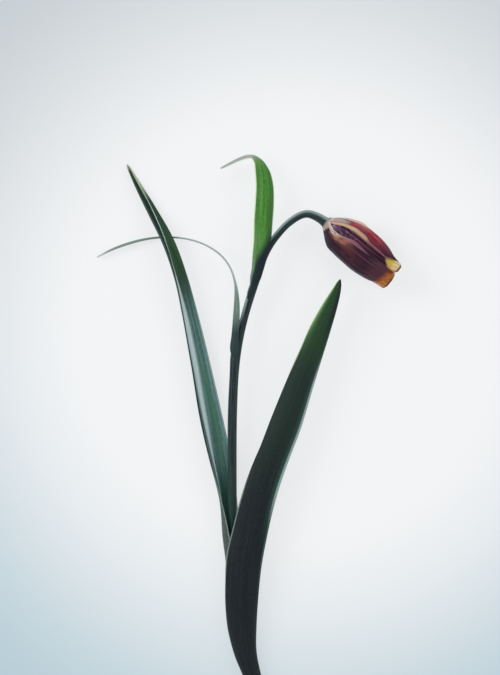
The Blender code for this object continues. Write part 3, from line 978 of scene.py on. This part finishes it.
inner_skin, pot = open_pot("inner_tepal_back")
across, along, streak, fleck, vein = fibres(pot, 9.4, 29.0)
strand = patchy(pot, 17.0, 1.4)
spots = patchy(pot, 15.0, 24.0, detail=2.0)
fine = patchy(pot, 34.0, 3.0, detail=2.0)
dusk = band(along, 0.14, 0.20, 0.26, 0.38)
spotted = rising(spots, 0.52, 0.60) * falling(along, 0.32, 0.46)
violet = falling(along + 0.08 * strand, 0.15, 0.24) * rising(fleck, 0.30, 0.52)
under = rising(across, 0.57, 0.67) * band(along, 0.22, 0.30, 0.82, 0.90)
slant = along + 0.28 * across + 0.05 * (streak - 0.5)
tip = rising(slant, 0.962, 0.985)
cream = rising(along + 0.08 * (strand - 0.5), 0.895, 0.935)
rim = rising(along, 0.972, 0.985) + rising(across, 0.88, 0.95) * rising(along, 0.80, 0.86)
colour = layers(
    over(rising(streak, 0.42, 0.60), (0.022, 0.009, 0.022), (0.140, 0.036, 0.068)),
    (rising(strand, 0.50, 0.60) * 0.40, (0.290, 0.120, 0.200)),
    (rising(along, 0.52, 0.76) * 0.6, (0.030, 0.013, 0.026)),
    (dusk * 0.5, (0.034, 0.014, 0.038)),
    (spotted * 0.40, (0.360, 0.230, 0.340)),
    (violet * 0.9, (0.280, 0.100, 0.290)),
    (violet * rising(spots, 0.49, 0.57) * 0.9, (0.640, 0.480, 0.580)),
    (falling(along, 0.01, 0.04), (0.140, 0.060, 0.070)),
    # It is rosier where it goes under the upper petal's margin, and painted much paler there as
    # painted light against that margin's shade.
    (under * 0.9, (0.800, 0.440, 0.500)),
    # The yellow tip: olive, then creamy with brown streaks, orange at the left, in a dark rim.
    (rising(slant, 0.945, 0.962), (0.420, 0.190, 0.130)),
    (tip, (0.700, 0.530, 0.105)),
    (tip * rising(fine, 0.50, 0.60) * 0.4, (0.500, 0.350, 0.050)),
    (tip * cream, (0.900, 0.710, 0.420)),
    (tip * cream * rising(fine, 0.49, 0.56) * 0.75, (0.500, 0.210, 0.050)),
    (tip * falling(across + 0.1 * cream, 0.16, 0.36), (0.620, 0.190, 0.025)),
    (rim * 0.85, (0.070, 0.036, 0.030)),
)
ribs = vein * 0.6 + streak
blade_coat(pot, colour, 0.36 + 0.2 * fleck, ribs, shine=0.10, depth=0.06, strength=0.7)

# The one that the photo shows turns its tip out and narrows it on the left.
HIDDEN_STANDS = [(0.8, -0.45), (2.4, -0.65), (4.0, -0.5), (6.0, -0.15), (8.5, 0.0), (27.0, 0.0)]
SEEN_STANDS = [*HIDDEN_STANDS[:-1], (21.5, 0.0), (24.0, 0.38), (25.5, 1.0), (27.5, 0.95)]
SEEN_SHOULDER = [(0.8, 44, 0.35), (2.7, 51, 0.35), (21.0, 50, 0.35)]
SEEN_LEFT = [*SEEN_SHOULDER, (24.0, 42, 0.3), (25.5, 27, 0.3), (27.3, 20, 0.3)]
SEEN_RIGHT = [*SEEN_SHOULDER, (25.5, 43, 0.3), (26.5, 38, 0.3), (27.3, 30, 0.3)]

for name, facing, swing, reach, stands, left, right in (
    ("tepal_inner_1", 15, 16, 1.0, SEEN_STANDS, SEEN_LEFT, SEEN_RIGHT),
    ("tepal_inner_2", 135, 3, 0.99, HIDDEN_STANDS, None, None),
    ("tepal_inner_3", 255, -3, 0.96, HIDDEN_STANDS, None, None),
):
    coats = (inner_skin, tepal_inside)
    petal = tepal(name, INNER, facing, INNER_LOWEST, coats, swing, reach, stands, left, right)
    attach(petal, "root")
    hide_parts(name)


# --- The outer tepals -------------------------------------------------------------------------
# The other three petals, which close the bell. Their shoulders are pale where they join the
# stem, their raised margins tan and then pink, and their faces dark purple to crimson.

OUTER = [
    (-0.45, 1.7, 46),
    (0.1, 2.05, 50),
    (0.8, 2.7, 50),
    (1.6, 3.5, 48),
    (2.9, 4.6, 45),
    (4.6, 5.4, 44),
    (7.0, 6.15, 43),
    (10.0, 6.65, 43),
    (14.5, 6.73, 43),
    (18.3, 6.5, 43),
    (21.3, 5.9, 43),
    (23.6, 5.1, 42),
    (25.3, 4.82, 40),
    (26.35, 4.7, 37),
    (26.85, 4.66, 32),
    (27.05, 4.62, 22),
    (27.15, 4.58, 8),
]
OUTER_LOWEST = 0.23
# Where the front one and the upper one stand out and in from that, and their margins, which meet
# at the shoulder and then part to show the petal between.
FRONT_STANDS = [
    (-0.5, -0.05), (0.5, 0.1), (1.2, -0.02), (2.0, -0.12), (3.2, 0.05), (5.0, 0.36), (7.0, 0.07),
    (9.5, -0.12), (12.0, -0.15), (14.5, 0.0), (19.0, 0.04), (22.0, 0.17), (25.5, 0.45), (28.0, 0.5),
]
FRONT_LEFT = [(0.0, 48, 0.5), (6.0, 47, 0.4), (27.0, 43, 0.3)]
FRONT_RIGHT = [
    (-0.45, 70, 0.5), (0.6, 58, 0.8), (1.5, 43, 1.1), (3.0, 36, 1.2), (5.0, 37, 1.1),
    (6.7, 39.5, 0.8), (8.5, 45, 0.5), (10.25, 50, 0.4), (14.5, 52.5, 0.35), (20.4, 48, 0.3),
    (27.0, 44, 0.3),
]
UPPER_STANDS = [
    (-0.5, -0.2), (0.4, -0.5), (1.2, -0.52), (2.4, -0.72), (4.0, -0.41), (6.0, -0.12), (8.5, 0.3),
    (11.0, 0.08), (17.0, -0.02), (20.0, -0.16), (22.5, -0.3), (25.5, -0.33),
]
UPPER_LEFT = [
    (-0.45, 80, 0.5), (0.6, 72, 0.7), (1.6, 66, 0.8), (3.1, 58, 0.8), (4.4, 53, 0.9),
    (5.8, 51, 1.0), (8.4, 50, 1.1), (11.6, 49.7, 0.9), (14.2, 49.5, 0.6), (17.0, 49, 0.4),
    (20.8, 47, 0.35), (21.5, 44, 0.3), (22.4, 32, 0.3), (23.3, 21, 0.3),
    (24.5, 8, 0.2), (25.0, 4, 0.2),
]
UNDER_STANDS = [(0.0, 0.0), (27.0, 0.0)]

front_skin, pot = open_pot("front_tepal_back")
across, along, streak, fleck, vein = fibres(pot, 9.7, 29.0)
strand = patchy(pot, 16.0, 1.5)
blotch = patchy(pot, 6.0, 12.0)
grain = patchy(pot, 46.0, 60.0, detail=2.0)
flush = rising(across, 0.58, 0.76) * band(along, 0.09, 0.19, 0.38, 0.50)
bright = rising(blotch + 0.9 * (across - 0.76), 0.42, 0.56) * falling(along, 0.31, 0.44)
red = band(across, 0.38, 0.58, 0.75, 0.90) * band(along, 0.32, 0.42, 0.50, 0.66)
slant = along - 0.06 * across + 0.05 * (streak - 0.5)
corner = rising(across, 0.80, 0.92) * band(along, 0.85, 0.90, 0.94, 0.97)
shoulder = falling(along - 0.04 * across + 0.06 * (strand - 0.5), 0.035, 0.065)
wedge_width = 0.20 * falling(along, 0.22, 0.38) + 0.03
wedge = rising((across - 1 + wedge_width) / wedge_width + 0.5 * (strand - 0.5), 0.05, 0.35)
pale = wedge * falling(along + 0.06 * (blotch - 0.5), 0.19, 0.31)
crimson = rising(across, 0.945, 0.97) * band(along, 0.28, 0.38, 0.42, 0.56)
rose = near(across, 0.925, 0.012, 0.035) * band(along, 0.26, 0.36, 0.50, 0.66)
lilac = rising(across, 0.965, 0.98) * band(along, 0.17, 0.22, 0.34, 0.42)
violet = band(across, 0.10, 0.15, 0.20, 0.28) * band(along, 0.25, 0.4, 0.70, 0.84)
beige = band(across, 0.12, 0.16, 0.19, 0.25) * band(along, 0.80, 0.90, 0.96, 0.98)
colour = layers(
    over(rising(across, 0.20, 0.60), (0.012, 0.009, 0.020), (0.030, 0.013, 0.024)),
    (rising(grain, 0.46, 0.60) * 0.30, (0.105, 0.046, 0.092)),
    (rising(streak, 0.46, 0.62) * 0.5, (0.070, 0.022, 0.034)),
    (rising(strand, 0.52, 0.60) * rising(across, 0.60, 0.90) * 0.6, (0.260, 0.070, 0.120)),
    (flush * 0.75, (0.190, 0.068, 0.064)),
    (flush * bright * 0.8, (0.460, 0.190, 0.120)),
    (red * rising(blotch, 0.30, 0.66) * 0.6, (0.140, 0.036, 0.046)),
    (rising(along, 0.66, 0.80) * 0.7, (0.110, 0.040, 0.056)),
    # Its tip turns red-brown and then orange, earlier on the left, inside a dark rim.
    (rising(slant, 0.826, 0.868), (0.320, 0.075, 0.032)),
    (rising(slant + 0.05 * (strand - 0.5), 0.862, 0.900), (0.500, 0.165, 0.035)),
    (rising(fleck, 0.44, 0.56) * rising(slant, 0.87, 0.90) * 0.5, (0.700, 0.320, 0.080)),
    (rising(strand, 0.48, 0.58) * rising(slant, 0.86, 0.89) * 0.5, (0.270, 0.070, 0.028)),
    (corner * 0.8, (0.120, 0.030, 0.020)),
    (rising(along, 0.976, 0.988) * 0.9, (0.080, 0.036, 0.030)),
    (shoulder * 0.95, (0.560, 0.450, 0.390)),
    (shoulder * rising(strand, 0.50, 0.58) * 0.5, (0.240, 0.150, 0.130)),
    # The pale margin, blotched with brown, which turns into a thin crimson line.
    (pale, over(rising(along, 0.17, 0.26), (0.820, 0.660, 0.590), (0.640, 0.400, 0.270))),
    (pale * rising(blotch, 0.48, 0.58) * (0.2 + 1.5 * along), (0.320, 0.170, 0.140)),
    (pale * rising(fleck, 0.50, 0.58) * 0.35, (0.220, 0.120, 0.110)),
    (crimson * 0.85, (0.380, 0.160, 0.230)),
    (rose * 0.6, (0.420, 0.190, 0.250)),
    (lilac * 0.7, (0.380, 0.290, 0.400)),
    # The left side shines in a streak, violet and then beige, inside a dark margin.
    (violet * rising(streak, 0.35, 0.50) * 0.6, (0.260, 0.200, 0.300)),
    (beige * 0.7, (0.620, 0.440, 0.360)),
    (falling(across, 0.02, 0.07) * rising(along, 0.70, 0.80) * 0.8, (0.050, 0.025, 0.030)),
    # The foot of the petal is still as green as the stem.
    (falling(along, 0.012, 0.045) * 0.8, (0.230, 0.260, 0.230)),
)
ribs = vein * 0.6 + streak
blade_coat(pot, colour, 0.34 + 0.22 * fleck, ribs, shine=0.10, depth=0.06, strength=0.7)

upper_skin, pot = open_pot("upper_tepal_back")
across, along, streak, fleck, vein = fibres(pot, 9.7, 27.0)
strand = patchy(pot, 15.0, 1.5)
blotch = patchy(pot, 6.0, 12.0)
rosy = rising(across, 0.11, 0.22) * band(along, 0.24, 0.34, 0.42, 0.52)
flame = near(across, 0.37, 0.02, 0.06) * band(along, 0.30, 0.40, 0.46, 0.56)
pink = band(strand, 0.40, 0.46, 0.47, 0.52) * rising(along, 0.34, 0.46)
greyed = rising(across - 0.12 * rising(along, 0.36, 0.50), 0.32, 0.37)
seam = near(across, 0.29 + 0.17 * falling(along, 0.09, 0.25), 0.016, 0.040)
shoulder = falling(along + 0.10 * (strand - 0.5) - 0.06 * across, 0.20, 0.29)
line = near(across, 0.24 + 0.1 * along, 0.008, 0.025) * falling(along, 0.20, 0.28)
brown = rising(strand, 0.50, 0.57) * 0.5 * falling(along, 0.22, 0.32) + line * 0.6
ridge_width = 0.085 * band(along, 0.02, 0.10, 0.48, 0.60) + 0.04
on_ridge = across / ridge_width
ridge = falling(on_ridge, 0.70, 1.0)
tan = ridge * falling(along, 0.50, 0.64)
golden = near(on_ridge, 0.45, 0.08, 0.24) * band(along, 0.16, 0.24, 0.46, 0.56)
outer_edge = rising(on_ridge, 0.58, 0.76) * rising(along, 0.12, 0.20)
shadow = band(on_ridge, 0.85, 1.1, 1.2, 1.7) * falling(along, 0.6, 0.8)
colour = layers(
    over(rising(streak, 0.42, 0.60), (0.220, 0.020, 0.034), (0.560, 0.052, 0.058)),
    (rising(blotch, 0.46, 0.60) * 0.4, (0.260, 0.024, 0.080)),
    (rising(along, 0.58, 0.82) * 0.9, (0.070, 0.014, 0.036)),
    # Painted shade darkens its far side, where it curves away.
    (rising(across, 0.46, 0.60) * rising(along, 0.44, 0.58) * 0.85, (0.050, 0.014, 0.030)),
    (rosy * 0.25, (0.760, 0.340, 0.320)),
    (flame * rising(strand, 0.30, 0.46), (0.680, 0.180, 0.100)),
    (pink * (0.55 - 0.35 * rising(along, 0.60, 0.80)), (0.480, 0.130, 0.200)),
    (rising(strand, 0.52, 0.60) * 0.45, (0.090, 0.018, 0.040)),
    (falling(across, 0.11, 0.19) * rising(along, 0.46, 0.58) * 0.55, (0.060, 0.016, 0.030)),
    (rising(along, 0.80, 0.93) * 0.8, (0.040, 0.014, 0.028)),
    # Painted shade darkens that side's edge further.
    (rising(across, 0.56, 0.64) * rising(along, 0.50, 0.62) * 0.7, (0.024, 0.008, 0.016)),
    # Its top is bleached, and so is its shoulder, where thin brown lines run down.
    (greyed * band(along, 0.05, 0.12, 0.46, 0.58) * 0.9, (0.800, 0.550, 0.470)),
    (shoulder * 0.95, (0.600, 0.480, 0.440)),
    (brown * rising(along, 0.05, 0.09), (0.160, 0.085, 0.080)),
    (seam * band(along, 0.06, 0.12, 0.27, 0.36) * 0.9, (0.110, 0.040, 0.045)),
    # The tan margin with an olive line along it, and the thin pink line that it narrows to.
    (tan, (0.670, 0.420, 0.330)),
    (tan * golden * 0.9, (0.620, 0.490, 0.220)),
    (tan * rising(strand, 0.48, 0.56) * 0.45, (0.360, 0.210, 0.160)),
    (tan * outer_edge * 0.7, (0.440, 0.230, 0.180)),
    (ridge * rising(along, 0.50, 0.62) * 0.9, (0.340, 0.150, 0.200)),
    (falling(along, 0.012, 0.045) * 0.8, (0.230, 0.260, 0.230)),
    (shadow * 0.45, (0.070, 0.020, 0.030)),
)
ribs = vein * 0.6 + streak
blade_coat(pot, colour, 0.34 + 0.22 * fleck, ribs, shine=0.05, depth=0.06, strength=0.7)

under_skin, pot = open_pot("under_tepal_back")
across, along, streak, fleck, vein = fibres(pot, 9.7, 29.0)
side = abs(across - 0.5) * 2
colour = layers(
    over(rising(streak, 0.42, 0.60), (0.028, 0.013, 0.026), (0.120, 0.034, 0.050)),
    (falling(side, 0.1, 0.5) * 0.4, (0.165, 0.046, 0.050)),
    (rising(along + 0.05 * (streak - 0.5), 0.85, 0.95), (0.554, 0.211, 0.046)),
    (rising(vein, 0.65, 1.0) * 0.25, (0.026, 0.013, 0.021)),
    (falling(along + 0.06 * (streak - 0.5), 0.05, 0.13) * 0.8, (0.396, 0.264, 0.224)),
    (rising(side, 0.90, 0.97) * falling(along, 0.4, 0.6), (0.594, 0.396, 0.317)),
    (rising(side, 0.93, 0.98) * rising(along, 0.4, 0.6) * 0.7, (0.370, 0.132, 0.211)),
)
ribs = vein * 0.6 + streak
blade_coat(pot, colour, 0.34 + 0.22 * fleck, ribs, shine=0.10, depth=0.06, strength=0.7)

for name, facing, swing, reach, stands, skin, left, right in (
    ("tepal_outer_1", -45, 9, 1.02, FRONT_STANDS, front_skin, FRONT_LEFT, FRONT_RIGHT),
    ("tepal_outer_2", 75, 0, 0.955, UPPER_STANDS, upper_skin, UPPER_LEFT, None),
    ("tepal_outer_3", 195, 0, 1.0, UNDER_STANDS, under_skin, None, None),
):
    coats = (skin, tepal_inside)
    petal = tepal(name, OUTER, facing, OUTER_LOWEST, coats, swing, reach, stands, left, right)
    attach(petal, "root")
    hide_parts(name)


# --- The table, the light and the camera ------------------------------------------------------
# A sheet of pale matt card under the flower, glowing to soften shadows and painted with a pool
# of light round the flower; soft boxes round it and a pale room, with the camera straight above.

card, pot = open_pot("pale_card")
place = object_place(pot)
away = {0: place, 1: (0.015, 0.03, 0.0)}
away = pot.node("ShaderNodeVectorMath", away, out="Value", operation="DISTANCE")
# Painted light: the card is brightest round the flower and dimmer towards its edges, bluer below.
far = over(rising(part_of(place, "Y"), -0.02, 0.08), (0.52, 0.67, 0.74), (0.62, 0.67, 0.70))
far = over(rising(away, 0.15, 0.40), far, (0.80, 0.83, 0.84))
colour = over(rising(away, 0.06, 0.15), (0.975, 0.985, 0.995), far)
coat(
    pot,
    Base_Color=stretched(colour, (0.28, 0.28, 0.28)),
    Emission_Color=colour,
    Emission_Strength=0.70,
    Roughness=0.9,
    Specular_IOR_Level=0.1,
    Normal=grained(cloudy(place, 700.0, 4.0), 0.02, 0.3),
)
bpy.ops.object.select_all(action="DESELECT")
bpy.ops.mesh.primitive_grid_add(x_subdivisions=8, y_subdivisions=8, size=6.0)
table = bpy.context.object
table.name = "table"
table.data.materials.append(card)

room = bpy.data.worlds.new("room")
room.use_nodes = True
bpy.context.scene.world = room
light = Paint(room.node_tree)
seen = light.node("ShaderNodeLightPath", out="Is Camera Ray")
background = room.node_tree.nodes["Background"]
light.fill(background.inputs["Color"], (0.93, 0.96, 1.0))
light.fill(background.inputs["Strength"], 0.33 + 0.52 * seen)

LIT_SPOT = np.array([0.005, 0.02, 0.0])
for name, spot, size, power in (
    ("box_left", (-0.75, 0.35, 0.62), 0.7, 4.3),
    ("box_right", (0.80, 0.10, 0.60), 0.7, 1.6),
    ("box_top", (0.10, 0.95, 0.55), 0.8, 2.3),
    ("box_foot", (-0.10, -0.85, 0.65), 0.8, 1.5),
):
    bpy.ops.object.light_add(type="AREA", location=spot)
    box = bpy.context.object
    box.name = name
    box.data.shape = "DISK"
    box.data.size = size
    box.data.energy = power
    aim = LIT_SPOT - spot
    flat = math.hypot(aim[0], aim[1])
    box.rotation_euler = (math.atan2(flat, -aim[2]), 0.0, math.atan2(aim[1], aim[0]) - math.pi / 2)

FLOWER_MIDDLE = (0.00064, 0.03024, 0.0065)
CAMERA_DISTANCE = 0.8
VIEW_LENGTH = 0.216  # the picture's longer side shows this much at the flower's middle, in m
camera_spot = np.add(FLOWER_MIDDLE, (0.0, 0.0, CAMERA_DISTANCE))
bpy.ops.object.camera_add(location=camera_spot, rotation=(0.0, 0.0, 0.0))
camera = bpy.context.object
camera.name = "camera"
camera.data.sensor_width = 36.0
camera.data.lens = camera.data.sensor_width * CAMERA_DISTANCE / VIEW_LENGTH
camera.data.clip_start = 0.01
bpy.context.scene.camera = camera
bpy.context.scene.view_settings.view_transform = "Standard"
